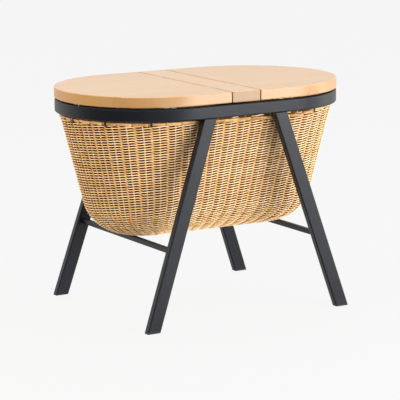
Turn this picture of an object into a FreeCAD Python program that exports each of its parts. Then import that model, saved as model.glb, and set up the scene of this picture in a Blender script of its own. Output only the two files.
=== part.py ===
import FreeCAD, Part
import os
import math

V = FreeCAD.Vector

# ---------------------------------------------------------------- dimensions (mm)
# X runs along the long side, Y across, Z up. Origin: centre of the footprint, on the floor.
total_h = 450.0            # floor to seat
seat_len = 594.0           # wood, along X
seat_wid = 377.0           # wood, along Y
wood_t = 21.0
wood_top_ease = 2.0        # rounding of the wood's upper edges
wood_low_ease = 2.0
shadow_gap = 3.0           # between rim and wood
rim_h = 25.0               # rim tube, height
rim_w = 15.0               # rim tube, width
rim_inset = 0.5            # wood overhang past the rim
rim_corner = 3.0
tube_wall = 1.5

strip_half = 30.5          # fixed middle board, half width
lid_gap = 3.0              # joint between middle board and each lid

leg_a = 28.8               # leg tube along X, measured level (27 mm square to its axis)
leg_b = 14.8               # leg tube along Y
leg_corner = 2.5
leg_x_foot = 216.5         # leg centre at the floor
leg_x_top = 80.0           # leg centre under the rim
leg_out_foot = 201.2       # outer face of the leg at the floor, in Y
glide_t = 3.0              # plastic sole under each leg
glide_plug = 15.0

bar = 10.0                 # square stretchers
bar_z = 146.4              # their underside

basket_s = 125.0           # half length of the basket's straight sides
basket_top_r = 165.8       # outer half width of the wall line at z = 400
basket_low_r = 106.07      # the same line at the underside
basket_z = 156.5           # underside of the basket
basket_fillet = 82.0       # rounding from wall to base
basket_t = 8.0             # woven wall thickness
border_r0 = 152.0
border_r1 = 165.0
border_z0 = 391.0
border_z1 = 399.5
border_corner = 4.0
clip_w = 3.0               # black clips holding the border to the rim
clip_t = 1.5
clip_reach = 180.0         # radius on the rim's underside that each clip's tab reaches
clip_angles = {-1: (-6.5, -35.5, -67.0, 50.0, 78.0),   # about each round end, minus is the front side
               1: (-71.5, -14.0, 18.0, 48.0, 76.0)}

cross_w = 50.0             # crossbar under the middle board
cross_t = 6.0
cross_z = 416.0

batten_w = 30.0
batten_t = 15.0

hinge_y = 105.0            # centre of each hinge
leaf_len = 40.0
leaf_h = 16.0
leaf_t = 1.0
knuckle_r = 2.0
pin_r = 1.0
pin_play = 0.05
hinge_drop = 2.4           # hinge axis below the seat surface
relief_r = 2.4

bumper_r = 1.6
bumper_t = 2.8
bumper_angles = (12.0, -12.0)

# ---------------------------------------------------------------- derived
wood_z = total_h - wood_t
rim_z1 = wood_z - shadow_gap
rim_z0 = rim_z1 - rim_h
wood_r = seat_wid / 2.0
mid_s = seat_len / 2.0 - wood_r          # half straight length shared by wood and rim
rim_r1 = wood_r - rim_inset
rim_r0 = rim_r1 - rim_w
leg_y_foot = leg_out_foot - leg_b / 2.0
leg_y_top = rim_r1 - leg_b / 2.0
hinge_x = strip_half + lid_gap / 2.0
hinge_z = total_h - hinge_drop
lid_x = strip_half + lid_gap

os.makedirs("parts", exist_ok=True)


def save(name, *shapes):
    s = shapes[0] if len(shapes) == 1 else Part.makeCompound(list(shapes))
    s.exportStep("parts/" + name + ".step")


def solid(shape):
    sol = shape.Solids
    return sol[0] if len(sol) == 1 else shape


# ---------------------------------------------------------------- outlines
def rr_edges(m, u0, u1, w0, w1, rad):
    """Rounded rectangle in a plane; m maps (u, w) to a point."""
    q = rad * (1 - math.sqrt(0.5))
    L, A = [], []
    seg = lambda a, b: Part.LineSegment(m(*a), m(*b)).toShape()
    arc = lambda a, b, c: Part.Arc(m(*a), m(*b), m(*c)).toShape()
    return Part.Wire([
        seg((u0 + rad, w0), (u1 - rad, w0)),
        arc((u1 - rad, w0), (u1 - q, w0 + q), (u1, w0 + rad)),
        seg((u1, w0 + rad), (u1, w1 - rad)),
        arc((u1, w1 - rad), (u1 - q, w1 - q), (u1 - rad, w1)),
        seg((u1 - rad, w1), (u0 + rad, w1)),
        arc((u0 + rad, w1), (u0 + q, w1 - q), (u0, w1 - rad)),
        seg((u0, w1 - rad), (u0, w0 + rad)),
        arc((u0, w0 + rad), (u0 + q, w0 + q), (u0 + rad, w0)),
    ])


def holed(outer, inner):
    """Tube section: the outer outline with the bore taken out."""
    return Part.Face(outer).cut(Part.Face(inner)).Faces[0]


def ring(profile, s):
    """Carry a section face around a stadium: two half turns and two straights."""
    def m_front(u, w):
        return V(s, -u, w)

    def m_back(u, w):
        return V(-s, u, w)

    up = V(0, 0, 1)
    right = profile(m_front).revolve(V(s, 0, 0), up, 180)
    left = profile(m_back).revolve(V(-s, 0, 0), up, 180)
    front = profile(m_front).extrude(V(-2 * s, 0, 0))
    back = profile(m_back).extrude(V(2 * s, 0, 0))
    return solid(right.fuse([left, front, back]).removeSplitter())


def stadium_wire(s, r, z):
    return Part.Wire([
        Part.Arc(V(s, -r, z), V(s + r, 0, z), V(s, r, z)).toShape(),
        Part.LineSegment(V(s, r, z), V(-s, r, z)).toShape(),
        Part.Arc(V(-s, r, z), V(-s - r, 0, z), V(-s, -r, z)).toShape(),
        Part.LineSegment(V(-s, -r, z), V(s, -r, z)).toShape(),
    ])


def box(x0, x1, y0, y1, z0, z1):
    return Part.makeBox(x1 - x0, y1 - y0, z1 - z0, V(x0, y0, z0))


def cyl(r, h, p, d):
    return Part.makeCylinder(r, h, p, d)


# ---------------------------------------------------------------- frame: rim, legs, stretchers
def rim_profile(m):
    outer = rr_edges(m, rim_r0, rim_r1, rim_z0, rim_z1, rim_corner)
    inner = rr_edges(m, rim_r0 + tube_wall, rim_r1 - tube_wall,
                     rim_z0 + tube_wall, rim_z1 - tube_wall, rim_corner - tube_wall)
    return holed(outer, inner)


rim = ring(rim_profile, mid_s)


def leg_centre(sx, sy, z):
    t = z / rim_z0
    return V(sx * (leg_x_foot + (leg_x_top - leg_x_foot) * t),
             sy * (leg_y_foot + (leg_y_top - leg_y_foot) * t), z)


def leg_section(sx, sy, z, inset):
    c = leg_centre(sx, sy, z)
    a, b = leg_a / 2 - inset, leg_b / 2 - inset
    m = lambda u, w: V(c.x + u, c.y + w, z)
    return rr_edges(m, -a, a, -b, b, max(leg_corner - inset, 0.8))


def leg_loft(sx, sy, zs, insets):
    return solid(Part.makeLoft([leg_section(sx, sy, z, i) for z, i in zip(zs, insets)], True, True))


corners = {"front_left": (-1, -1), "front_right": (1, -1), "back_left": (-1, 1), "back_right": (1, 1)}
legs, leg_full, glides = {}, {}, []
for name, (sx, sy) in corners.items():
    outer = leg_loft(sx, sy, (glide_t, rim_z0), (0, 0))
    inner = leg_loft(sx, sy, (glide_t, rim_z0), (tube_wall, tube_wall))
    leg_full[name] = outer
    legs[name] = solid(outer.cut(inner))
    sole = leg_loft(sx, sy, (0, 1.0), (0.9, 0)).fuse([
        leg_loft(sx, sy, (1.0, glide_t), (0, 0)),
        leg_loft(sx, sy, (glide_t, glide_t + glide_plug), (tube_wall, tube_wall)),
    ]).removeSplitter()
    glides.append(solid(sole))
    # drain hole from the rim tube into the leg
    c = leg_centre(sx, sy, rim_z0)
    rim = rim.cut(cyl(2.5, 2 * tube_wall, V(c.x, c.y, rim_z0 - 0.5), V(0, 0, 1)))
rim = solid(rim)

stretchers = {}
for side, sx in (("left", -1), ("right", 1)):
    cx = leg_centre(sx, 1, bar_z + bar / 2).x

    def bar_loft(h, rad):
        """Square bar whose ends lie on the inner faces of its two legs."""
        wires = []
        for sy in (-1, 1):
            m = lambda u, w: V(cx + u, sy * (leg_centre(sx, 1, w).y - leg_b / 2), w)
            zc = bar_z + bar / 2
            wires.append(rr_edges(m, -h, h, zc - h, zc + h, rad))
        return solid(Part.makeLoft(wires, True, True))

    stretchers[side] = solid(bar_loft(bar / 2, 1.5).cut(bar_loft(bar / 2 - 1.2, 0.6)))

crossbar = box(-cross_w / 2, cross_w / 2, -rim_r0, rim_r0, cross_z, cross_z + cross_t)

# ---------------------------------------------------------------- seat: middle board and two lids
half = strip_half


def wood_outline(x0, x1):
    """Part of the seat outline between two X values, as a prism."""
    full = Part.Face(stadium_wire(mid_s, wood_r, wood_z)).extrude(V(0, 0, wood_t))
    return solid(full.common(box(x0, x1, -wood_r - 5, wood_r + 5, wood_z - 1, total_h + 1)))


def ease(shape):
    top = [e for e in shape.Edges if all(abs(v.Z - total_h) < 1e-6 for v in e.Vertexes)
           and abs(e.BoundBox.ZMax - e.BoundBox.ZMin) < 1e-6]
    low = [e for e in shape.Edges if all(abs(v.Z - wood_z) < 1e-6 for v in e.Vertexes)
           and abs(e.BoundBox.ZMax - e.BoundBox.ZMin) < 1e-6]
    s = shape.makeFillet(wood_top_ease, top)
    low = [e for e in s.Edges if abs(e.BoundBox.ZMax - wood_z) < 1e-4 and abs(e.BoundBox.ZMin - wood_z) < 1e-4]
    return solid(s.makeFillet(wood_low_ease, low))


strip = ease(wood_outline(-half, half))
lids = {"left": ease(wood_outline(-seat_len, -lid_x)), "right": ease(wood_outline(lid_x, seat_len))}

# ---------------------------------------------------------------- hinges
leaf_fixed, leaf_moving, pins = {}, {}, {}
screws_strip, screws_lid = [], {"left": [], "right": []}
n_knuckle = 5
axial = 0.3


def knuckles(y0, which):
    """Y spans of the barrel segments that belong to one leaf (0 fixed, 1 moving)."""
    step = leaf_len / n_knuckle
    out = []
    for i in range(n_knuckle):
        if i % 2 == which:
            a = y0 - leaf_len / 2 + i * step + (axial / 2 if i else 0)
            b = y0 - leaf_len / 2 + (i + 1) * step - (axial / 2 if i < n_knuckle - 1 else 0)
            out.append((a, b))
    return out


def make_leaf(sx_axis, toward, y0, which, bore):
    """sx_axis: X of the hinge line; toward: +1 when the leaf sits on the +X side of it."""
    inner = sx_axis + toward * (lid_gap / 2 - leaf_t)
    outer = sx_axis + toward * (lid_gap / 2)
    x0, x1 = min(inner, outer), max(inner, outer)
    plate = box(x0, x1, y0 - leaf_len / 2, y0 + leaf_len / 2, hinge_z - leaf_h, hinge_z - knuckle_r - 0.5)
    pieces = []
    for a, b in knuckles(y0, which):
        pieces.append(box(x0, x1, a, b, hinge_z - knuckle_r - 0.5, hinge_z))
        pieces.append(cyl(knuckle_r, b - a, V(sx_axis, a, hinge_z), V(0, 1, 0)))
    leaf = plate.fuse(pieces).removeSplitter()
    for a, b in knuckles(y0, which):
        leaf = leaf.cut(cyl(bore, b - a + 0.2, V(sx_axis, a - 0.1, hinge_z), V(0, 1, 0)))
    return leaf


def wood_screw(sx_axis, toward, y, z):
    x = sx_axis + toward * (lid_gap / 2 - leaf_t)
    d = V(toward, 0, 0)
    head = Part.makeCone(2.6, 1.5, 1.0, V(x, y, z), d)
    shank = cyl(1.5, 13.0, V(x + toward * 1.0, y, z), d)
    tip = Part.makeCone(1.5, 0.3, 2.0, V(x + toward * 14.0, y, z), d)
    return solid(head.fuse([shank, tip]).removeSplitter())


for side, sx in (("left", -1), ("right", 1)):
    ax = sx * hinge_x
    for place, sy in (("front", -1), ("back", 1)):
        y0 = sy * hinge_y
        key = side + "_" + place
        fixed = make_leaf(ax, -sx, y0, 0, pin_r)
        moving = make_leaf(ax, sx, y0, 1, pin_r + pin_play)
        pins[key] = cyl(pin_r, leaf_len, V(ax, y0 - leaf_len / 2, hinge_z), V(0, 1, 0))
        groove = cyl(relief_r, leaf_len + 1.0, V(ax, y0 - leaf_len / 2 - 0.5, hinge_z), V(0, 1, 0))
        strip = strip.cut(groove)
        lids[side] = lids[side].cut(groove)
        for dy in (-12.0, 12.0):
            a = wood_screw(ax, -sx, y0 + dy, hinge_z - 9.5)
            b = wood_screw(ax, sx, y0 + dy, hinge_z - 9.5)
            fixed = fixed.cut(a)
            moving = moving.cut(b)
            strip = strip.cut(a)
            lids[side] = lids[side].cut(b)
            screws_strip.append(a)
            screws_lid[side].append(b)
        leaf_fixed[key] = solid(fixed)
        leaf_moving[key] = solid(moving)

# ---------------------------------------------------------------- battens under the lids
battens, batten_screws = {}, {"left": [], "right": []}
for side, sx in (("left", -1), ("right", 1)):
    for place, xc, hy in (("inner", 62.0, 112.0), ("outer", 212.0, 82.0)):
        x0, x1 = sx * xc - batten_w / 2, sx * xc + batten_w / 2
        b = box(x0, x1, -hy, hy, wood_z - batten_t, wood_z)
        edges = [e for e in b.Edges if abs(e.BoundBox.ZMax - (wood_z - batten_t)) < 1e-6]
        b = solid(b.makeFillet(2.0, edges))
        for y in (-hy + 18.0, 0.0, hy - 18.0):
            z = wood_z - batten_t
            s = Part.makeCone(4.0, 2.0, 2.4, V(sx * xc, y, z), V(0, 0, 1)).fuse([
                cyl(2.0, batten_t + 9.0, V(sx * xc, y, z + 2.4 - 0.01), V(0, 0, 1))]).removeSplitter()
            s = solid(s)
            b = b.cut(s)
            lids[side] = lids[side].cut(s)
            batten_screws[side].append(s)
        battens[side + "_" + place] = solid(b)

# ---------------------------------------------------------------- fixing of the middle board
spacers, strip_screws = [], []
for x in (-15.0, 15.0):
    for y in (-135.0, 135.0):
        z0 = cross_z + cross_t
        head = cyl(4.5, 3.0, V(x, y, cross_z - 3.0), V(0, 0, 1))
        shank = cyl(2.25, 26.0, V(x, y, cross_z), V(0, 0, 1))
        s = solid(head.fuse(shank).removeSplitter())
        strip_screws.append(s)
        crossbar = crossbar.cut(s)
        strip = strip.cut(s)
        spacers.append(solid(cyl(7.0, wood_z - z0, V(x, y, z0), V(0, 0, 1)).cut(s)))

strip = solid(strip)
crossbar = solid(crossbar)
lids = {k: solid(v) for k, v in lids.items()}

# ---------------------------------------------------------------- bumpers on the rim
bumpers = []
for sx in (-1, 1):
    for a in bumper_angles:
        t = math.radians(a)
        rr = (rim_r0 + rim_r1) / 2.0
        p = V(sx * (mid_s + rr * math.cos(t)), rr * math.sin(t), rim_z1)
        d = cyl(bumper_r, bumper_t, p, V(0, 0, 1))
        e = [x for x in d.Edges if abs(x.BoundBox.ZMin - (rim_z1 + bumper_t)) < 1e-6]
        bumpers.append(solid(d.makeFillet(0.4, e)))

# ---------------------------------------------------------------- basket
slope = (basket_top_r - basket_low_r) / (400.0 - basket_z)
tilt = math.atan(slope)
flat_r = basket_low_r - basket_fillet / math.tan((math.pi / 2 + tilt) / 2)


def wall_profile(m):
    """Section of the woven wall: straight taper, round turn to the base."""
    zc = basket_z + basket_fillet
    ro, ri = basket_fillet, basket_fillet - basket_t
    ct, st = math.cos(tilt), math.sin(tilt)
    pt = lambda r, a: (flat_r + r * math.cos(a), zc + r * math.sin(a))
    a0, a1 = -math.pi / 2, -tilt
    am = (a0 + a1) / 2
    o0, om, o1 = pt(ro, a0), pt(ro, am), pt(ro, a1)
    i0, im, i1 = pt(ri, a0), pt(ri, am), pt(ri, a1)
    z1 = border_z0
    top_o = (o1[0] + (z1 - o1[1]) * slope, z1)
    top_i = (i1[0] + (z1 - i1[1]) * slope, z1)
    seg = lambda a, b: Part.LineSegment(m(*a), m(*b)).toShape()
    arc = lambda a, b, c: Part.Arc(m(*a), m(*b), m(*c)).toShape()
    return Part.Face(Part.Wire([
        arc(o0, om, o1), seg(o1, top_o), seg(top_o, top_i), seg(top_i, i1), arc(i1, im, i0), seg(i0, o0)]))


def border_profile(m):
    return Part.Face(rr_edges(m, border_r0, border_r1, border_z0, border_z1, border_corner))


wall = ring(wall_profile, basket_s)
border = ring(border_profile, basket_s)
base = solid(Part.Face(stadium_wire(basket_s, flat_r, basket_z)).extrude(V(0, 0, basket_t)))

clips = []
for sx in (-1, 1):
    for a in clip_angles[sx]:
        blk = box(border_r0 - clip_t, border_r1 + clip_t, -clip_w / 2, clip_w / 2, border_z0 - clip_t, rim_z0)
        ed = [e for e in blk.Edges if abs(e.BoundBox.YMax - e.BoundBox.YMin) > 1.0 and e.BoundBox.ZMax < rim_z0 - 1]
        blk = blk.makeFillet(3.0, ed)
        # tab on top, long enough to lie under the rim, whose round ends have another centre
        off, t = basket_s - mid_s, math.radians(a)
        reach = math.sqrt(clip_reach ** 2 - (off * math.sin(t)) ** 2) - off * math.cos(t)
        if reach > border_r1 + clip_t:
            tab = box(border_r0, reach, -clip_w / 2, clip_w / 2, border_z1, rim_z0)
            blk = solid(blk.fuse(tab).removeSplitter())
        blk.rotate(V(0, 0, 0), V(0, 0, 1), a if sx > 0 else 180.0 - a)
        blk.translate(V(sx * basket_s, 0, 0))
        clips.append(blk)
for blk in clips:
    wall = wall.cut(blk)
clips = [solid(b.cut(border)) for b in clips]
wall = solid(wall)

# ---------------------------------------------------------------- write
save("rim_hoop", rim)
for k in corners:
    save("leg_" + k, legs[k])
save("foot_glides", *glides)
save("stretcher_left", stretchers["left"])
save("stretcher_right", stretchers["right"])
save("centre_crossbar", crossbar)
save("strip_spacers", *spacers)
save("strip_screws", *strip_screws)
save("centre_strip", strip)
for side in ("left", "right"):
    save("lid_" + side, lids[side])
    save("lid_" + side + "_batten_inner", battens[side + "_inner"])
    save("lid_" + side + "_batten_outer", battens[side + "_outer"])
    save("lid_" + side + "_batten_screws", *batten_screws[side])
    save("hinge_screws_lid_" + side, *screws_lid[side])
    for place in ("front", "back"):
        k = side + "_" + place
        save("hinge_" + k + "_fixed_leaf", leaf_fixed[k])
        save("hinge_" + k + "_moving_leaf", leaf_moving[k])
        save("hinge_" + k + "_pin", pins[k])
save("hinge_screws_strip", *screws_strip)
save("rim_bumpers", *bumpers)
save("basket_wall", wall)
save("basket_base", base)
save("basket_border", border)
save("basket_clips", *clips)

print("flat_r", round(flat_r, 2), "tilt deg", round(math.degrees(tilt), 2))
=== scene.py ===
import math

import bpy
import numpy as np
from mathutils import Matrix, Vector


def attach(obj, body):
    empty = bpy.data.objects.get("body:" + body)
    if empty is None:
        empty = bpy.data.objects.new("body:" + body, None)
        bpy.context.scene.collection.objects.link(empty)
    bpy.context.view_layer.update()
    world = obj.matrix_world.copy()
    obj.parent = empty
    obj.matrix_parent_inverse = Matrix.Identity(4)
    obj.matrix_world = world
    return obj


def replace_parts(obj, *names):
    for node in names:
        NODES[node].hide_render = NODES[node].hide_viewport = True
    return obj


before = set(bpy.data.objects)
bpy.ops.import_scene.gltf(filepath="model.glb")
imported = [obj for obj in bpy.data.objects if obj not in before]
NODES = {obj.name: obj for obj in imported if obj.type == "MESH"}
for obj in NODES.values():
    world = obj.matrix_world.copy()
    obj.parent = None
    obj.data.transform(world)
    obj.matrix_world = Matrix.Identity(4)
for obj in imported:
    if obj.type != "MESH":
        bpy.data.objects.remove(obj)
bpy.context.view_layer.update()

scene = bpy.context.scene
scene.view_settings.view_transform = "Standard"
scene.view_settings.look = "None"
rng = np.random.default_rng(20)

# ------------------------------------------------------------------ camera
az, el, roll = math.radians(-30.45), math.radians(10.61), math.radians(-0.45)
back = Vector((math.sin(az) * math.cos(el), -math.cos(az) * math.cos(el), math.sin(el)))
right = Vector((math.cos(az), math.sin(az), 0.0))
up = back.cross(right)
target = right * 0.0042 + Vector((0, 0, 0.20653))
eye = target + back * 4.2495
r2 = right * math.cos(roll) + up * math.sin(roll)
u2 = up * math.cos(roll) - right * math.sin(roll)
cam_data = bpy.data.cameras.new("camera")
cam = bpy.data.objects.new("camera", cam_data)
scene.collection.objects.link(cam)
cam.matrix_world = Matrix((
    (r2.x, u2.x, back.x, eye.x),
    (r2.y, u2.y, back.y, eye.y),
    (r2.z, u2.z, back.z, eye.z),
    (0, 0, 0, 1),
))
cam_data.sensor_width = 36.0
cam_data.lens = 36.0 * 2104.0 / 400.0
cam_data.clip_start, cam_data.clip_end = 0.05, 200.0
scene.camera = cam


# ------------------------------------------------------------------ node helpers
class Graph:
    """Small helper to write a node tree in a few lines."""

    def __init__(self, tree):
        self.t = tree
        self.t.nodes.clear()

    def node(self, kind, **props):
        n = self.t.nodes.new(kind)
        for k, v in props.items():
            setattr(n, k, v)
        return n

    def put(self, socket, value):
        if isinstance(value, bpy.types.NodeSocket):
            self.t.links.new(value, socket)
        elif value is not None:
            socket.default_value = value

    def math(self, op, a, b=None, c=None, clamp=False):
        n = self.node("ShaderNodeMath", operation=op, use_clamp=clamp)
        for i, v in enumerate((a, b, c)):
            self.put(n.inputs[i], v)
        return n.outputs[0]

    def vmath(self, op, a, b=None):
        n = self.node("ShaderNodeVectorMath", operation=op)
        self.put(n.inputs[0], a)
        self.put(n.inputs[1], b)
        return n.outputs["Value" if op in ("DOT_PRODUCT", "LENGTH") else "Vector"]

    def noise(self, vec, scale, detail=2.0, rough=0.5, distortion=0.0):
        n = self.node("ShaderNodeTexNoise", noise_dimensions="3D")
        self.put(n.inputs["Vector"], vec)
        n.inputs["Scale"].default_value = scale
        n.inputs["Detail"].default_value = detail
        n.inputs["Roughness"].default_value = rough
        n.inputs["Distortion"].default_value = distortion
        return n.outputs["Fac"]

    def ramp(self, fac, stops, mode="LINEAR"):
        n = self.node("ShaderNodeValToRGB")
        n.color_ramp.interpolation = mode
        e = n.color_ramp.elements
        while len(e) < len(stops):
            e.new(0.5)
        for i, (p, c) in enumerate(stops):
            e[i].position = p
            e[i].color = (*c, 1.0) if isinstance(c, (tuple, list)) else (c, c, c, 1.0)
        self.put(n.inputs[0], fac)
        return n.outputs["Color"]

    def range(self, v, a, b, lo, hi, smooth=False):
        n = self.node("ShaderNodeMapRange", clamp=True)
        if smooth:
            n.interpolation_type = "SMOOTHSTEP"
        self.put(n.inputs["Value"], v)
        for name, x in (("From Min", a), ("From Max", b), ("To Min", lo), ("To Max", hi)):
            n.inputs[name].default_value = x
        return n.outputs["Result"]

    def mix(self, fac, a, b, blend="MIX"):
        n = self.node("ShaderNodeMix", data_type="RGBA", blend_type=blend)
        self.put(n.inputs[0], fac)
        for s, v in ((n.inputs[6], a), (n.inputs[7], b)):
            if isinstance(v, (tuple, list)):
                v = (*v[:3], 1.0)
            self.put(s, v)
        return n.outputs[2]

    def scaled(self, vec, scale):
        return self.vmath("MULTIPLY", vec, scale)

    def sep(self, vec):
        n = self.node("ShaderNodeSeparateXYZ")
        self.put(n.inputs[0], vec)
        return n.outputs

    def comb(self, x, y, z):
        n = self.node("ShaderNodeCombineXYZ")
        for i, v in enumerate((x, y, z)):
            self.put(n.inputs[i], v)
        return n.outputs[0]

    def bump(self, height, strength, distance, normal=None):
        n = self.node("ShaderNodeBump")
        n.inputs["Strength"].default_value = strength
        n.inputs["Distance"].default_value = distance
        self.put(n.inputs["Height"], height)
        if normal is not None:
            self.put(n.inputs["Normal"], normal)
        return n.outputs["Normal"]

    def coords(self):
        return self.node("ShaderNodeTexCoord").outputs

    def edge(self, radius):
        """0 on flat faces, rising to 1 on edges that are convex or concave within radius."""
        b = self.node("ShaderNodeBevel", samples=4)
        b.inputs["Radius"].default_value = radius
        g = self.node("ShaderNodeNewGeometry")
        d = self.vmath("DOT_PRODUCT", b.outputs["Normal"], g.outputs["Normal"])
        return self.range(d, 0.995, 0.80, 0.0, 1.0)

    def surface(self, **inputs):
        p = self.node("ShaderNodeBsdfPrincipled")
        for k, v in inputs.items():
            name = k.replace("_", " ")
            if isinstance(v, (tuple, list)) and len(v) == 3:
                v = (*v, 1.0)
            self.put(p.inputs[name], v)
        o = self.node("ShaderNodeOutputMaterial")
        self.t.links.new(p.outputs[0], o.inputs["Surface"])
        return p


def material(name):
    m = bpy.data.materials.new(name)
    m.use_nodes = True
    return m, Graph(m.node_tree)


# ------------------------------------------------------------------ materials
def make_powder_coat():
    m, g = material("powder_coat_charcoal")
    co = g.coords()["Object"]
    cloud = g.noise(co, 9.0, 3.0, 0.55)
    grit = g.noise(co, 1500.0, 2.0, 0.6)
    peel = g.noise(co, 520.0, 2.0, 0.5)
    # painted highlight: the rounded edges are painted paler
    painted_edge_highlight = g.edge(0.0016)
    base = g.mix(g.range(cloud, 0.35, 0.65, 0.0, 1.0), (0.0052, 0.0061, 0.0090), (0.0069, 0.0080, 0.0113))
    base = g.mix(g.range(grit, 0.55, 0.75, 0.0, 0.5), base, (0.014, 0.015, 0.017))
    base = g.mix(g.math("MULTIPLY", painted_edge_highlight, g.range(cloud, 0.3, 0.7, 0.15, 0.5)), base, (0.030, 0.032, 0.036))
    rough = g.math("ADD", g.range(cloud, 0.3, 0.7, 0.39, 0.45), g.range(grit, 0.3, 0.7, -0.03, 0.03))
    h = g.math("ADD", g.math("MULTIPLY", peel, 0.7), g.math("MULTIPLY", grit, 0.3))
    g.surface(Base_Color=base, Roughness=rough, Specular_IOR_Level=0.41, Normal=g.bump(h, 0.22, 0.00025))
    return m


def make_wood(name, axis, seed, light, dark, end):
    """Straight-grained boards glued side by side. axis is the grain's direction, 0 for X and 1 for Y."""
    m, g = material(name)
    tc = g.coords()
    x, y, z = g.sep(tc["Object"])[:3]
    along, across = (x, y) if axis == 0 else (y, x)
    # boards about 47 mm wide, each from another part of the tree
    wob = g.math("ADD", across, 0.0153 + 0.01 * seed)
    idx = g.math("FLOOR", g.math("DIVIDE", wob, 0.047))
    wn = g.node("ShaderNodeTexWhiteNoise", noise_dimensions="2D")
    g.put(wn.inputs["Vector"], g.comb(idx, float(seed), 0.0))
    tone = wn.outputs["Value"]
    shift = g.scaled(wn.outputs["Color"], (7.0, 5.0, 3.0))
    p = g.vmath("ADD", g.comb(along, across, z), shift)
    figure = g.noise(g.scaled(p, (1.3, 26.0, 26.0)), 1.0, 4.0, 0.6, 0.7)
    fibre = g.noise(g.scaled(p, (7.0, 420.0, 420.0)), 1.0, 3.0, 0.65)
    pores = g.noise(g.scaled(p, (42.0, 1150.0, 1150.0)), 1.0, 1.0, 0.5)
    rings = g.math("SINE", g.math("MULTIPLY", g.noise(g.scaled(p, (0.55, 9.0, 9.0)), 1.0, 2.0, 0.5), 95.0))
    cloud = g.noise(g.scaled(p, (3.0, 9.0, 9.0)), 1.0, 2.0, 0.5)
    f = g.math("ADD", g.range(figure, 0.3, 0.7, 0.0, 0.42), g.range(tone, 0.0, 1.0, 0.0, 0.30))
    f = g.math("ADD", f, g.range(fibre, 0.3, 0.7, -0.10, 0.16))
    f = g.math("ADD", f, g.range(rings, -1.0, 1.0, -0.05, 0.07))
    f = g.math("ADD", f, g.range(cloud, 0.3, 0.7, -0.05, 0.10), clamp=True)
    col = g.mix(f, light, dark)
    col = g.mix(g.range(pores, 0.64, 0.74, 0.0, 0.35), col, tuple(c * 0.45 for c in dark))
    # glue lines between the boards
    frac = g.math("FRACT", g.math("DIVIDE", wob, 0.047))
    line = g.math("MAXIMUM", g.range(frac, 0.0, 0.008, 0.35, 0.0), g.range(frac, 0.992, 1.0, 0.0, 0.35))
    col = g.mix(line, col, tuple(c * 0.6 for c in dark))
    # open end grain drinks more oil
    ends = g.math("ABSOLUTE", g.sep(tc["Normal"])[axis])
    ends = g.range(ends, 0.72, 0.98, 0.0, 1.0, smooth=True)
    dots = g.noise(g.scaled(p, (90.0, 700.0, 700.0)), 1.0, 2.0, 0.6)
    end_col = g.mix(g.range(dots, 0.35, 0.65, 0.0, 1.0), end, tuple(c * 0.82 for c in end))
    col = g.mix(g.math("MULTIPLY", ends, 0.85), col, end_col)
    # painted shade: the upright sides are painted darker and more saturated than the top
    painted_side_shade = g.range(g.math("ABSOLUTE", g.sep(tc["Normal"])[2]), 0.85, 0.35, 0.0, 1.0, smooth=True)
    col = g.mix(painted_side_shade, col, (0.700, 0.628, 0.540), "MULTIPLY")
    # painted highlight: the edges are painted a little paler
    col = g.mix(g.math("MULTIPLY", g.edge(0.0014), 0.22), col, tuple(min(1.0, c * 1.25 + 0.03) for c in light))
    rough = g.math("ADD", g.range(fibre, 0.3, 0.7, 0.28, 0.36), g.math("MULTIPLY", ends, 0.10))
    h = g.math("SUBTRACT", g.math("MULTIPLY", fibre, 0.6), g.range(pores, 0.62, 0.74, 0.0, 0.8))
    g.surface(Base_Color=col, Roughness=rough, Specular_IOR_Level=0.85, Normal=g.bump(h, 0.12, 0.0002))
    return m


def make_steel(name, base, rough, stretch):
    m, g = material(name)
    co = g.coords()["Object"]
    streak = g.noise(g.scaled(co, stretch), 1.0, 2.0, 0.6)
    stain = g.noise(co, 160.0, 3.0, 0.6)
    wear = g.edge(0.0006)
    col = g.mix(g.range(streak, 0.3, 0.7, 0.0, 1.0), base, tuple(c * 0.80 for c in base))
    col = g.mix(g.range(stain, 0.5, 0.75, 0.0, 0.35), col, tuple(c * 0.55 for c in base))
    col = g.mix(g.math("MULTIPLY", wear, 0.4), col, (0.80, 0.80, 0.79))
    r = g.math("ADD", g.range(streak, 0.3, 0.7, rough - 0.05, rough + 0.07), g.range(stain, 0.5, 0.75, 0.0, 0.14))
    g.surface(Base_Color=col, Metallic=1.0, Roughness=r, Normal=g.bump(streak, 0.12, 0.0001))
    return m


def make_plastic(name, lo, hi, rough, grain, sss=0.0):
    m, g = material(name)
    co = g.coords()["Object"]
    fine = g.noise(co, grain, 2.0, 0.55)
    cloud = g.noise(co, 90.0, 2.0, 0.5)
    worn = g.edge(0.0007)
    col = g.mix(g.range(cloud, 0.3, 0.7, 0.0, 1.0), lo, hi)
    col = g.mix(g.range(fine, 0.5, 0.8, 0.0, 0.4), col, tuple(min(1.0, c * 1.5 + 0.01) for c in hi))
    col = g.mix(g.math("MULTIPLY", worn, 0.3), col, tuple(min(1.0, c * 1.6 + 0.02) for c in hi))
    r = g.range(fine, 0.3, 0.7, rough - 0.06, rough + 0.06)
    p = g.surface(Base_Color=col, Roughness=r, Normal=g.bump(fine, 0.2, 0.0002))
    if sss:
        p.inputs["Subsurface Weight"].default_value = sss
        p.inputs["Subsurface Radius"].default_value = (0.002, 0.002, 0.002)
    return m


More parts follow.
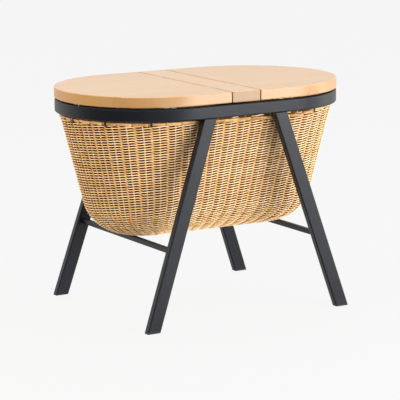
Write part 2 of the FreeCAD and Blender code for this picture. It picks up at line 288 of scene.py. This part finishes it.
def make_cane(name, stops, painted_recess_shade, rough_at, streak_gain):
    """Round cane. tone is the strand's own colour, recess how deep in the weave the point lies, from which shade and
    highlight are painted.
    """
    m, g = material(name)
    tone = g.node("ShaderNodeAttribute", attribute_name="tone").outputs["Fac"]
    recess = g.node("ShaderNodeAttribute", attribute_name="recess").outputs["Fac"]
    uv = g.node("ShaderNodeUVMap", uv_map="cane").outputs["UV"]
    co = g.coords()["Object"]
    fibre = g.noise(g.scaled(uv, (55.0, 26.0, 1.0)), 1.0, 3.0, 0.6)
    blot = g.noise(g.scaled(uv, (70.0, 1.2, 1.0)), 1.0, 3.0, 0.6)
    speck = g.noise(g.scaled(uv, (900.0, 9.0, 1.0)), 1.0, 1.0, 0.5)
    cloud = g.noise(co, 14.0, 2.0, 0.5)
    f = g.math("ADD", tone, g.range(fibre, 0.3, 0.7, -0.5 * streak_gain, 0.5 * streak_gain))
    f = g.math("ADD", f, g.range(blot, 0.3, 0.7, -0.14, 0.14))
    f = g.math("ADD", f, g.range(cloud, 0.3, 0.7, -0.06, 0.06), clamp=True)
    col = g.ramp(f, stops)
    # some lengths are rosier, some more yellow
    hue = g.noise(g.scaled(uv, (21.0, 0.6, 1.0)), 1.0, 2.0, 0.5)
    col = g.mix(g.range(hue, 0.52, 0.70, 0.0, 0.50), col, (0.90, 0.55, 0.33))
    col = g.mix(g.range(hue, 0.48, 0.30, 0.0, 0.50), col, (0.84, 0.61, 0.24))
    col = g.mix(g.range(speck, 0.66, 0.78, 0.0, 0.45), col, (0.24, 0.12, 0.04))
    # painted light by depth: the proud parts are painted paler as a highlight, the deeper ones darker, and the slots
    # near black as painted shade
    col = g.mix(g.range(recess, 0.22, 0.34, 0.0, 1.0), col, (0.965, 0.925, 0.88), "MULTIPLY")
    col = g.mix(g.range(recess, 0.28, 0.06, 0.0, 0.55), col, (0.97, 0.80, 0.565))
    deep = g.range(recess, 0.39, 0.51, 0.0, 1.0, smooth=True)
    col = g.mix(g.math("MULTIPLY", deep, painted_recess_shade), col, (0.050, 0.014, 0.001))
    rough = g.range(fibre, 0.3, 0.7, rough_at - 0.07, rough_at + 0.09)
    rough = g.math("ADD", rough, g.math("MULTIPLY", deep, 0.40))
    h = g.math("ADD", fibre, g.math("MULTIPLY", speck, 0.3))
    g.surface(Base_Color=col, Roughness=rough, Specular_IOR_Level=0.08, Normal=g.bump(h, 0.3, 0.00022))
    return m


coat = make_powder_coat()
WOOD_LIGHT, WOOD_DARK, WOOD_END = (0.655, 0.410, 0.198), (0.535, 0.315, 0.134), (0.74, 0.430, 0.152)
wood_left = make_wood("teak_lid_left", 0, 1, WOOD_LIGHT, WOOD_DARK, WOOD_END)
wood_right = make_wood("teak_lid_right", 0, 2, WOOD_LIGHT, WOOD_DARK, WOOD_END)
wood_strip = make_wood("teak_strip", 1, 3, WOOD_LIGHT, WOOD_DARK, (0.445, 0.288, 0.158))
wood_batten = make_wood("teak_batten", 1, 4, WOOD_LIGHT, WOOD_DARK, WOOD_END)
steel_hinge = make_steel("hinge_steel", (0.56, 0.55, 0.53), 0.34, (30.0, 30.0, 1600.0))
steel_screw = make_steel("screw_steel", (0.60, 0.60, 0.59), 0.30, (900.0, 900.0, 40.0))
glide = make_plastic("glide_nylon", (0.012, 0.012, 0.013), (0.020, 0.020, 0.021), 0.5, 900.0)
clip_black = make_plastic("clip_nylon", (0.010, 0.010, 0.010), (0.018, 0.017, 0.016), 0.42, 1100.0)
silicone = make_plastic("bumper_silicone", (0.74, 0.74, 0.72), (0.86, 0.86, 0.84), 0.36, 700.0, 0.25)
CANE = [
    (0.00, (0.360, 0.165, 0.047)),
    (0.25, (0.650, 0.352, 0.126)),
    (0.50, (0.845, 0.512, 0.230)),
    (0.70, (0.910, 0.615, 0.325)),
    (0.85, (0.930, 0.710, 0.450)),
    (1.00, (0.950, 0.810, 0.600)),
]
cane = make_cane("rattan_weavers", CANE, 0.99, 0.40, 0.22)
cane_stake = make_cane("rattan_stakes", CANE, 0.30, 0.40, 0.26)
cane_border = make_cane("rattan_border", [(p, (0.93 * r, 1.01 * g, 1.18 * b)) for p, (r, g, b) in CANE], 0.92, 0.38, 0.30)


def paint(node, mat):
    o = NODES[node]
    if not o.data.materials:
        o.data.materials.append(mat)
    for i in range(len(o.material_slots)):
        o.material_slots[i].material = mat


for n in NODES:
    if n in ("rim_hoop", "centre_crossbar") or n.startswith(("leg_", "stretcher_")):
        paint(n, coat)
    elif n == "lid_left":
        paint(n, wood_left)
    elif n == "lid_right":
        paint(n, wood_right)
    elif n == "centre_strip":
        paint(n, wood_strip)
    elif "batten_screws" in n or n.startswith("hinge_screws") or n == "strip_screws":
        paint(n, steel_screw)
    elif "batten" in n:
        paint(n, wood_batten)
    elif n.startswith("hinge_"):
        paint(n, steel_hinge)
    elif n in ("foot_glides", "strip_spacers"):
        paint(n, glide)
    elif n == "basket_clips":
        paint(n, clip_black)
    elif n == "rim_bumpers":
        paint(n, silicone)

# ------------------------------------------------------------------ the woven basket
MM = 0.001
HALF = 125.0  # half of the straight side
TILT = math.atan(0.245298)
PITCH = 2.63  # from one round of the weave to the next
AMP = 2.76  # how far a weaver swings to each side of the stakes
WEAVER_W, WEAVER_T = 1.26, 1.18  # half sizes of a weaver, up and down and through the wall
CLIMB = 0.8  # how far a stroke rises and falls along the wall
STAKE_R = 1.5
INSET = 4.0  # the weave's middle lies this far inside the basket's outer face

# outer face: straight wall, fillet and flat base, as (r about the straight middle, z)
ARC_R, ARC_Z, FLAT = 82.0, 238.5, 41.745
TOP = np.array([163.592, 391.0])
KNEE = np.array([FLAT + ARC_R * math.cos(TILT), ARC_Z - ARC_R * math.sin(TILT)])
N_WALL = np.array([math.cos(TILT), -math.sin(TILT)])
WALL_LEN = float(np.hypot(*(TOP - KNEE)))
ARC_MID = ARC_R - INSET
ARC_LEN = ARC_MID * (math.pi / 2 - TILT)
TOTAL = WALL_LEN + ARC_LEN + FLAT

# stakes set by hand, so not quite evenly: 490 is once round, counted from the front middle towards +X
STAKES = [-5.6, 4.3, 13.4, 22.9, 33.0, 43.5, 54.5, 65.0, 75.6]
STAKES += list(np.linspace(75.6, 366.6, 30)[1:])
STAKES += [375.2, 384.5, 393.8, 403.1, 412.5, 422.8, 433.3, 443.9, 454.5, 464.7, 474.5]
STAKES = np.array(STAKES) / 490.0
COUNT = len(STAKES)  # odd, so that each round passes in front where the last one passed behind


def stake_at(q):
    """Share of the way round at stake number q, which may lie between two stakes or count on past the last."""
    q = np.asarray(q, float)
    return np.floor(q / COUNT) + np.interp(q % COUNT, np.arange(COUNT + 1), np.append(STAKES, STAKES[0] + 1.0))


def lean(u, s):
    """Lower down the stakes draw apart along the sides and together round the ends."""
    much = np.interp(s, [40, 90, 130, 170, 190, 210, 250], [0.0, 0.14, 0.24, 0.38, 0.58, 0.95, 1.15])
    return 0.0190 * much * np.sin(4 * np.pi * (u - 0.055))


def profile(s):
    """(r, z, nr, nz) on the weave's middle surface, s mm down from the top edge."""
    s = np.asarray(s, float)
    top, knee = TOP - N_WALL * INSET, KNEE - N_WALL * INSET
    f = s / WALL_LEN
    a = TILT + np.clip(s - WALL_LEN, 0, ARC_LEN) / ARC_MID
    flat = np.clip(s - WALL_LEN - ARC_LEN, 0, None)
    on_wall = s < WALL_LEN
    r = np.where(on_wall, top[0] + (knee - top)[0] * f, FLAT + ARC_MID * np.cos(a) - flat)
    z = np.where(on_wall, top[1] + (knee - top)[1] * f, ARC_Z - ARC_MID * np.sin(a))
    nr = np.where(on_wall, N_WALL[0], np.cos(a))
    nz = np.where(on_wall, N_WALL[1], -np.sin(a))
    return r, z, nr, nz


def around(u, r):
    """(x, y, nx, ny) at share u of the way round an outline of radius r, from the front middle towards +X."""
    r = np.maximum(np.asarray(r, float), 0.05)
    turn = np.pi * r
    whole = 4 * HALF + 2 * turn
    d = (np.asarray(u, float) % 1.0) * whole
    a1 = (d - HALF) / r - np.pi / 2
    a2 = (d - 3 * HALF - turn) / r + np.pi / 2
    where = [d < HALF, d < HALF + turn, d < 3 * HALF + turn, d < 3 * HALF + 2 * turn]
    zero = np.zeros_like(d)
    x = np.select(where, [d, HALF + r * np.cos(a1), HALF - (d - HALF - turn), -HALF + r * np.cos(a2)], d - whole)
    y = np.select(where, [-r, r * np.sin(a1), r, r * np.sin(a2)], -r)
    nx = np.select(where, [zero, np.cos(a1), zero, np.cos(a2)], zero)
    ny = np.select(where, [zero - 1, np.sin(a1), zero + 1, np.sin(a2)], zero - 1)
    return x, y, nx, ny


def unit(v):
    return v / np.maximum(np.linalg.norm(v, axis=-1, keepdims=True), 1e-12)


def wander(t, step, seed, octaves=2):
    """Smooth noise from -1 to 1 along t, with a new value every step."""
    gen = np.random.default_rng(seed)
    total, weight = np.zeros_like(t), 0.0
    for k in range(octaves):
        st, w = step / 2**k, 0.6**k
        x = (t - t.min()) / st
        vals = gen.uniform(-1, 1, int(x.max()) + 4)
        i = np.floor(x).astype(int)
        f = x - i
        f = f * f * (3 - 2 * f)
        total += w * (vals[i] * (1 - f) + vals[i + 1] * f)
        weight += w
    return total / weight


class Tubes:
    """Collects swept tubes into one mesh with its coordinates and attributes."""

    def __init__(self):
        self.v, self.f, self.tone, self.recess, self.uv = [], [], [], [], []
        self.count = 0

    def add(self, path, side, wide, thick, sides, tone, recess, start=0.0, power=1.0, spin=0.0):
        """path (n,3) in mm; side (n,3) points out of the basket; wide and thick are the half sizes across and along side."""
        n = len(path)
        tang = np.empty_like(path)
        tang[1:-1] = path[2:] - path[:-2]
        tang[0], tang[-1] = path[1] - path[0], path[-1] - path[-2]
        tang = unit(tang)
        side = unit(side - (side * tang).sum(1, keepdims=True) * tang)
        across = np.cross(tang, side)
        ang = np.arange(sides) / sides * 2 * np.pi + spin
        c, s = np.cos(ang), np.sin(ang)
        c = np.sign(c) * np.abs(c) ** power
        s = np.sign(s) * np.abs(s) ** power
        wide = np.broadcast_to(np.asarray(wide, float), (n,))
        thick = np.broadcast_to(np.asarray(thick, float), (n,))
        ring = (path[:, None, :] + side[:, None, :] * (thick[:, None] * c)[:, :, None]
                + across[:, None, :] * (wide[:, None] * s)[:, :, None])
        verts = np.concatenate([ring.reshape(-1, 3), path[:1] - tang[:1] * 0.25, path[-1:] + tang[-1:] * 0.25])
        i = np.arange(n - 1)[:, None] * sides
        j = np.arange(sides)[None, :]
        k = (j + 1) % sides
        quads = np.stack([i + j, i + k, i + k + sides, i + j + sides], -1).reshape(-1, 4)
        jj, kk = np.arange(sides), (np.arange(sides) + 1) % sides
        a, b = n * sides, n * sides + 1
        cap0 = np.stack([kk, jj, np.full(sides, a)], -1)
        cap1 = np.stack([(n - 1) * sides + jj, (n - 1) * sides + kk, np.full(sides, b)], -1)
        length = np.concatenate([[0], np.cumsum(np.linalg.norm(np.diff(path, axis=0), axis=1))]) * MM + start
        off = self.count
        self.v.append(verts)
        self.f.append((quads + off, np.concatenate([cap0, cap1]) + off))
        tone = np.broadcast_to(np.asarray(tone, float), (n,))
        recess = np.asarray(recess, float)
        if recess.ndim == 0:
            recess = np.full(n, float(recess))
        if recess.ndim == 1:
            recess = np.repeat(recess[:, None], sides, 1)
        self.tone += [np.repeat(tone, sides), [tone[0], tone[-1]]]
        self.recess += [recess.ravel(), [recess[0].max(), recess[-1].max()]]
        # along and around, for the fibres; the seam's last strip runs on past 1
        lu = length
        q = np.stack([
            np.broadcast_to(lu[:-1, None], (n - 1, sides)), np.broadcast_to(lu[:-1, None], (n - 1, sides)),
            np.broadcast_to(lu[1:, None], (n - 1, sides)), np.broadcast_to(lu[1:, None], (n - 1, sides))], -1)
        p = np.stack([np.broadcast_to(x, (n - 1, sides)) for x in (j / sides, (j + 1) / sides, (j + 1) / sides, j / sides)], -1)
        quv = np.stack([q, p], -1).reshape(-1, 2)
        c0 = np.stack([np.stack([np.full(sides, lu[0])] * 3, -1), np.stack([(jj + 1) / sides, jj / sides, (jj + 0.5) / sides], -1)], -1)
        c1 = np.stack([np.stack([np.full(sides, lu[-1])] * 3, -1), np.stack([jj / sides, (jj + 1) / sides, (jj + 0.5) / sides], -1)], -1)
        self.uv.append((quv, np.concatenate([c0, c1]).reshape(-1, 2)))
        self.count += len(verts)
        return self

    def build(self, name, mat):
        v = np.concatenate(self.v) * MM
        quads = np.concatenate([f[0] for f in self.f])
        tris = np.concatenate([f[1] for f in self.f])
        loops = np.concatenate([quads.ravel(), tris.ravel()])
        starts = np.concatenate([np.arange(len(quads)) * 4, len(quads) * 4 + np.arange(len(tris)) * 3])
        me = bpy.data.meshes.new(name)
        me.vertices.add(len(v))
        me.vertices.foreach_set("co", v.astype(np.float32).ravel())
        me.loops.add(len(loops))
        me.loops.foreach_set("vertex_index", loops.astype(np.int32))
        me.polygons.add(len(starts))
        me.polygons.foreach_set("loop_start", starts.astype(np.int32))
        me.polygons.foreach_set("use_smooth", np.ones(len(starts), bool))
        me.update(calc_edges=True)
        for key, data in (("tone", self.tone), ("recess", self.recess)):
            a = me.attributes.new(key, "FLOAT", "POINT")
            a.data.foreach_set("value", np.concatenate(data).astype(np.float32))
        layer = me.uv_layers.new(name="cane")
        uv = np.concatenate([np.concatenate([u[0] for u in self.uv]), np.concatenate([u[1] for u in self.uv])])
        layer.uv.foreach_set("vector", uv.astype(np.float32).ravel())
        me.materials.append(mat)
        me.validate()
        o = bpy.data.objects.new(name, me)
        scene.collection.objects.link(o)
        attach(o, "stool_frame")
        return o


def on_weave(t, s, out):
    """Points at share t (rounds count on), s mm down, out mm off the middle surface; and the outward direction."""
    r, z, nr, nz = profile(s)
    x, y, nx, ny = around(t + lean(t, s), r)
    side = np.stack([nr * nx, nr * ny, nz], -1)
    return np.stack([x, y, z], -1) + side * np.asarray(out)[..., None], side


# rounds of the weave: one spiral, laid as canes a few rounds long whose ends hide behind a stake
SEG = 8  # rings from one stake to the next
SIDES = 8
S_START = 1.0 - 2 * PITCH  # the first rounds lie in behind the border
rounds = (TOTAL - 3.0 - S_START) / PITCH
steps = int(rounds * COUNT * SEG)
q_all = np.arange(steps) / SEG
t_all = stake_at(q_all)
rows = q_all / COUNT
s_all = S_START + rows * PITCH
# hand-made: rows ride up and down a little, and neighbours share most of that
lift = 0.55 * np.sin(2 * np.pi * (rows % 1.0) * 3 + s_all / 61.0) + 0.35 * np.sin(2 * np.pi * (rows % 1.0) * 7 + 1.3 + s_all / 37.0)
jog = 0.12 * wander(q_all, 1.7, 5)
amp = AMP * (1 - 0.03 * (1 + wander(q_all, 2.3, 6)))
phase = np.cos(np.pi * q_all)
swing = amp * np.sign(phase) * np.abs(phase) ** 0.75
fade = np.clip((TOTAL - s_all) / 60.0, 0, 1)
# each stroke climbs a little as it passes its stake, and drops back before the next
climb = -CLIMB * (np.sin(2 * np.pi * q_all) - 0.3 * np.sin(4 * np.pi * q_all))
# a round lies level, so on the leaning wall a stroke that swings out sits higher up the wall; not so on the base
level = -0.36 * swing * np.interp(s_all, [WALL_LEN + 0.15 * ARC_LEN, WALL_LEN + 0.70 * ARC_LEN], [1.0, 0.0])
s_path = s_all + (lift + jog + climb + level) * fade
pts, side = on_weave(t_all, s_path, swing)
plump = 1 + 0.05 * wander(q_all, 9.0, 7)
# a cane is pressed flat where it turns in behind a stake, and rounder where it lies in front
wide = plump * (WEAVER_W - 0.16 * np.clip(phase, 0, 1) ** 0.8 + 0.90 * np.clip(-phase, 0, 1) ** 1.5)
# each cane's own colour, and slower changes along it
cuts = [0]
while cuts[-1] < steps:
    stakes = int(rng.integers(70, 190))
    cuts.append(cuts[-1] + stakes * SEG)
cuts[-1] = steps
if cuts[-1] - cuts[-2] < 40 * SEG:
    cuts.pop(-2)
own = rng.normal(0.53, 0.06, len(cuts))
tone_all = np.empty(steps)
for a, b, k in zip(cuts[:-1], cuts[1:], own):
    tone_all[a:b] = k
tone_all += 0.17 * wander(q_all, 2.6, 8) + 0.14 * wander(q_all, 0.9, 9)
tone_all = np.clip(tone_all, 0.02, 0.98)

ang = np.arange(SIDES) / SIDES * 2 * np.pi
PARTS = 6
bounds_at = [int(round(steps * k / PARTS)) for k in range(PARTS + 1)]
marks = sorted(set(cuts) | set(bounds_at))
weave = [Tubes() for _ in range(PARTS)]
for a, b in zip(marks[:-1], marks[1:]):
    part = max(k for k in range(PARTS) if bounds_at[k] <= a)
    b2 = min(steps, b + 1)
    sl = slice(a, b2)
    # how deep each point lies below the face of the weave that it looks towards; the cane material paints shade and
    # highlight from it
    face = np.cos(ang)[None, :]
    depth = swing[sl, None] + WEAVER_T * face
    rec = np.clip(0.5 - face * depth / (2 * (AMP + WEAVER_T)), 0, 1)
    weave[part].add(pts[sl], side[sl], wide[sl], WEAVER_T * plump[sl], SIDES, tone_all[sl], rec, start=a * 0.0035)
names = []
for k, tb in enumerate(weave):
    o = tb.build(f"weave_rounds_{k + 1}", cane)
    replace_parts(o, "basket_wall", "basket_base") if k == PARTS - 1 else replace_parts(o, "basket_wall")
    names.append(o)

# stakes, from under the border down the wall to the middle of the base
stakes = Tubes()
for k in range(COUNT):
    s = np.concatenate([np.linspace(-7.0, WALL_LEN, 26)[:-1], np.linspace(WALL_LEN, WALL_LEN + ARC_LEN, 22)[:-1],
                        np.linspace(WALL_LEN + ARC_LEN, TOTAL - 1.2, 9)])
    u = STAKES[k] + 0.0003 * wander(s, 60.0, 100 + k)
    p, sd = on_weave(u, s, np.zeros_like(s))
    tone = np.clip(rng.normal(0.60, 0.08) + 0.10 * wander(s, 40.0, 200 + k), 0.05, 0.98)
    # a recess of 0.50 paints the stakes darker, as painted shade
    stakes.add(p, sd, STAKE_R, STAKE_R, 8, tone, 0.50, start=k * 0.37)
# the rib along the middle of the base, where the two sides of the last round meet
rib_x = np.linspace(-HALF - 1.0, HALF + 1.0, 90)
p = np.stack([rib_x, 0.15 * wander(rib_x, 40.0, 298), np.full_like(rib_x, ARC_Z - ARC_MID)], -1)
stakes.add(p, np.tile([0.0, 0.0, -1.0], (len(rib_x), 1)), 2.9, 1.7, 8, 0.58 + 0.10 * wander(rib_x, 30.0, 297), 0.30, start=19.0)
o = stakes.build("weave_stakes", cane_stake)
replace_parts(o, "basket_wall", "basket_base")

# border: each stake's tail is bent to the right, lies in front of the next and is tucked in behind the one after
border = Tubes()
V = np.linspace(-0.16, 1.36, 34)
for k in range(COUNT):
    j = np.clip(rng.normal(0, 1, 6), -1.8, 1.8)
    u = stake_at(k + 0.3 + V)
    # in the middle of the front the tails were pulled down further
    low = float(np.interp((STAKES[k] + 0.5) % 1.0 - 0.5, [-0.21, -0.16, -0.085, -0.055, 0.075, 0.105], [0.0, 0.2, 0.35, 1.0, 1.0, 0.0]))
    sag = 2.0 * float(np.interp((STAKES[k] + 0.5) % 1.0 - 0.5, [-0.01, 0.03, 0.07, 0.10], [0.0, 1.0, 1.0, 0.0]))
    z = np.interp(V, [-0.2, 0.1, 0.9, 1.1, 1.4], [396.9 - 2 * low - sag, 396.7 - 4.8 * low - sag + 0.1 * j[0], 395.3 - 3.8 * low - sag + 0.1 * j[1], 395.2 - 3.8 * low - sag, 395.6 - 2 * low - sag])
    r = np.interp(V, [-0.2, 0.05, 0.16, 0.9, 1.05, 1.13, 1.4], [158.6, 161.2, 163.1, 163.3, 163.1, 160.4, 158.8])
    h = np.interp(V, [-0.2, 0.1, 0.9, 1.04, 1.12, 1.4],
                  [2.2, 2.6 + 1.2 * low, 3.9 + 0.1 * low + 0.1 * j[2], 3.9 + 0.1 * low + 0.1 * j[3], 3.2 + 0.4 * low, 2.2])
    e = np.interp(V, [-0.2, 0.3, 1.0, 1.4], [1.2, 1.55, 1.55, 1.2])
    for arr in (z, h, e):
        arr[1:-1] = (arr[:-2] + 2 * arr[1:-1] + arr[2:]) / 4
    x, y, nx, ny = around(u, r)
    zero = np.zeros_like(nx)
    p = np.stack([x, y, z], -1)
    sd = np.stack([nx, ny, zero - 0.12], -1)
    tone = np.clip(0.18 - 0.13 * low + 0.07 * j[4] + 0.12 * wander(V, 0.4, 300 + k) + np.interp(V, [0.8, 1.0], [0.0, 0.14]), 0.05, 0.98)
    deep = np.interp(r, [160.8, 162.6], [0.68, 0.40])
    # painted shade where the tail goes in and on its inner side, and a painted shadow along the top where it lies in
    # under the rim
    spoke = np.arange(12) / 12 * 2 * np.pi
    shaded_spokes = (np.cos(spoke) <= -0.1) | (np.sin(spoke) < -0.75)
    rec = np.where(shaded_spokes[None, :], 0.60, deep[:, None])
    border.add(p, sd, h, e, 12, tone, rec, start=k * 0.21, power=0.75)
    # the tail's other half on the inside
    r_in = np.interp(V, [-0.2, 0.1, 0.4, 0.9, 1.2, 1.4], [158.0, 155.8, 154.2, 154.2, 155.6, 157.4])
    z_in = np.interp(V, [-0.2, 0.5, 1.1, 1.4], [395.6, 395.8, 394.6, 393.8])
    x, y, nx, ny = around(stake_at(k + 0.7 + V), r_in)
    p = np.stack([x, y, z_in], -1)
    sd = np.stack([-nx, -ny, zero + 0.1], -1)
    # its recess of 0.1 paints it with the paler painted highlight of the proud parts
    border.add(p, sd, h * 1.05, e, 10, tone - 0.05, np.full(len(V), 0.1), start=k * 0.21 + 0.1, power=0.75)
# the ring of cane that the tails are wound about; its recess of 0.52 paints it near black, as painted shade
ring_u = np.linspace(0.0, 1.002, 420)
x, y, nx, ny = around(ring_u, np.full_like(ring_u, 158.6))
p = np.stack([x, y, np.full_like(x, 395.4)], -1)
border.add(p, np.stack([nx, ny, np.zeros_like(nx)], -1), 2.7, 3.2, 10, 0.35 + 0.1 * wander(ring_u, 0.03, 299), 0.52, power=0.85)
o = border.build("basket_border_tails", cane_border)
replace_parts(o, "basket_border")

# ------------------------------------------------------------------ floor and light
me = bpy.data.meshes.new("floor")
me.from_pydata([(-60, -60, 0), (60, -60, 0), (60, 60, 0), (-60, 60, 0)], [], [(0, 1, 2, 3)])
floor = bpy.data.objects.new("floor", me)
scene.collection.objects.link(floor)
fm, g = material("floor_pale")
d = g.node("ShaderNodeBsdfDiffuse")
d.inputs["Color"].default_value = (0.038, 0.038, 0.038, 1.0)
e = g.node("ShaderNodeEmission")
e.inputs["Color"].default_value = (1.0, 1.0, 1.0, 1.0)
e.inputs["Strength"].default_value = 0.885
s = g.node("ShaderNodeAddShader")
o = g.node("ShaderNodeOutputMaterial")
fm.node_tree.links.new(d.outputs[0], s.inputs[0])
fm.node_tree.links.new(e.outputs[0], s.inputs[1])
fm.node_tree.links.new(s.outputs[0], o.inputs["Surface"])
me.materials.append(fm)
floor.visible_diffuse = False
floor.visible_glossy = False
floor.visible_shadow = False

world = bpy.data.worlds.new("studio")
scene.world = world
world.use_nodes = True
g = Graph(world.node_tree)
way = g.coords()["Generated"]
dz = g.sep(way)[2]
high = g.range(dz, -1.0, 1.0, 0.0, 1.0)
behind = g.ramp(high, [(0.0, 0.62), (0.35, 0.72), (0.50, 0.95), (0.62, 1.0), (0.75, 0.80), (1.0, 0.70)])
before = g.ramp(high, [(0.0, 0.55), (0.30, 0.42), (0.44, 0.52), (0.52, 0.90), (0.62, 1.0), (0.75, 0.80), (1.0, 0.70)])
tall = g.mix(g.range(g.sep(way)[1], 0.10, -0.35, 0.0, 1.0, smooth=True), behind, before)
# bright sweep behind, a dark room to the front left at the height of the stool
sweep = g.range(g.vmath("DOT_PRODUCT", way, (0.40, 0.917, 0.0)), 0.10, 0.70, 1.0, 1.18, smooth=True)
band = g.math("MULTIPLY", g.range(dz, -0.80, -0.45, 0.0, 1.0, smooth=True), g.range(dz, 0.52, 0.24, 0.0, 1.0, smooth=True))
room = g.range(g.vmath("DOT_PRODUCT", way, (-0.82, -0.57, 0.0)), 0.20, 0.62, 0.0, 0.90, smooth=True)
shade = g.math("SUBTRACT", 1.0, g.math("MULTIPLY", band, room))
light = g.math("MULTIPLY", g.math("MULTIPLY", tall, sweep), shade)
bg = g.node("ShaderNodeBackground")
g.put(bg.inputs["Color"], light)
bg.inputs["Strength"].default_value = 0.95
o = g.node("ShaderNodeOutputWorld")
world.node_tree.links.new(bg.outputs[0], o.inputs["Surface"])


def area(name, place, aim, size, power, colour=(1, 1, 1)):
    data = bpy.data.lights.new(name, "AREA")
    data.shape = "RECTANGLE"
    data.size, data.size_y = size
    data.energy = power
    data.color = colour
    ob = bpy.data.objects.new(name, data)
    scene.collection.objects.link(ob)
    ob.location = place
    ob.rotation_mode = "QUATERNION"
    ob.rotation_quaternion = (Vector(aim) - Vector(place)).to_track_quat("-Z", "Y")
    return ob


area("key", (1.35, -2.25, 0.62), (0.0, 0.0, 0.34), (1.5, 1.1), 34.0, (0.955, 0.98, 1.0))
area("side", (2.7, -0.55, 0.65), (0.0, 0.0, 0.34), (1.0, 1.0), 16.0, (0.94, 0.97, 1.0))
area("top", (0.2, 0.3, 2.6), (0.0, 0.0, 0.3), (2.2, 2.2), 18.0)
# broad fills that only lift the matt surfaces
for name, place, size, power, colour in (("fill", (-2.4, 0.0, 0.95), (1.4, 1.4), 42.0, (1.0, 0.89, 0.71)),
                                         ("front", (0.75, -2.6, 0.36), (3.6, 1.8), 100.0, (1.0, 0.985, 0.975))):
    ob = area(name, place, (0.0, 0.0, 0.3), size, power, colour)
    ob.visible_glossy = False
